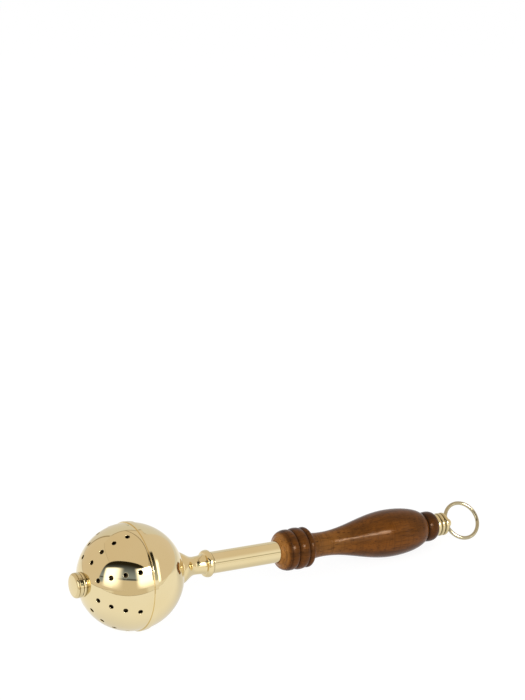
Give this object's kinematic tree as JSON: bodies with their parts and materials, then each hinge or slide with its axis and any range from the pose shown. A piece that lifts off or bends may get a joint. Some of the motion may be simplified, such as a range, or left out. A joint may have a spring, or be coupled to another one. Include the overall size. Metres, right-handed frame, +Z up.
{
  "type": "aspergillum",
  "caption": "Holy water sprinkler: perforated brass ball that opens at its seam, brass neck and tube, turned wooden handle and a swinging hanging ring.",
  "frame": {"origin": "on the table under the middle of the sprinkler, lying at rest on its rim band and the belly of its handle", "axes": "+X along the sprinkler from the perforated ball to the hanging ring, +Z up from the table"},
  "size_m": [0.2264, 0.051, 0.051],
  "materials": {
    "polished_brass": "mirror polished and lacquered",
    "turned_brass": "turned and polished",
    "ring_brass": "drawn wire, polished",
    "handle_wood": "reddish hardwood, stained and varnished",
    "steel": "plain zinc plated",
    "sponge": "natural sponge",
    "washer_leather": "oiled leather"
  },
  "bodies": {
    "grip": {"rim_band": "polished_brass", "rear_shell": "polished_brass", "sponge": "sponge", "nut_washer": "turned_brass", "lock_nut": "steel", "tie_rod": "steel", "neck": "turned_brass", "tube": "polished_brass", "handle": "handle_wood", "cap_washer": "turned_brass", "end_cap": "turned_brass"},
    "front_half": {"front_shell": "polished_brass", "pole_collar": "turned_brass", "lap_ring": "turned_brass"},
    "knob": {"tip_knob": "turned_brass", "knob_washer": "washer_leather"},
    "ring": {"hang_ring": "ring_brass"}
  },
  "joints": [
    {"name": "front_slide", "type": "slide", "parent": "grip", "child": "front_half", "axis": [-0.9954, 0, 0.0955], "range_m": [0, 0.008]},
    {"name": "knob_turn", "type": "hinge", "parent": "front_half", "child": "knob", "pos_m": [-0.11311, 0, 0.02846], "axis": [-0.9954, 0, 0.0955], "range_deg": [0, 3600]},
    {"name": "ring_swing", "type": "hinge", "parent": "grip", "child": "ring", "pos_m": [0.09373, 0, 0.00862], "axis": [0.071, 0.6691, 0.7397], "range_deg": [-93, 97]}
  ],
  "couplings": [
    {"joint": "knob_turn", "follows": "front_slide", "rad_per_m": 7854}
  ]
}
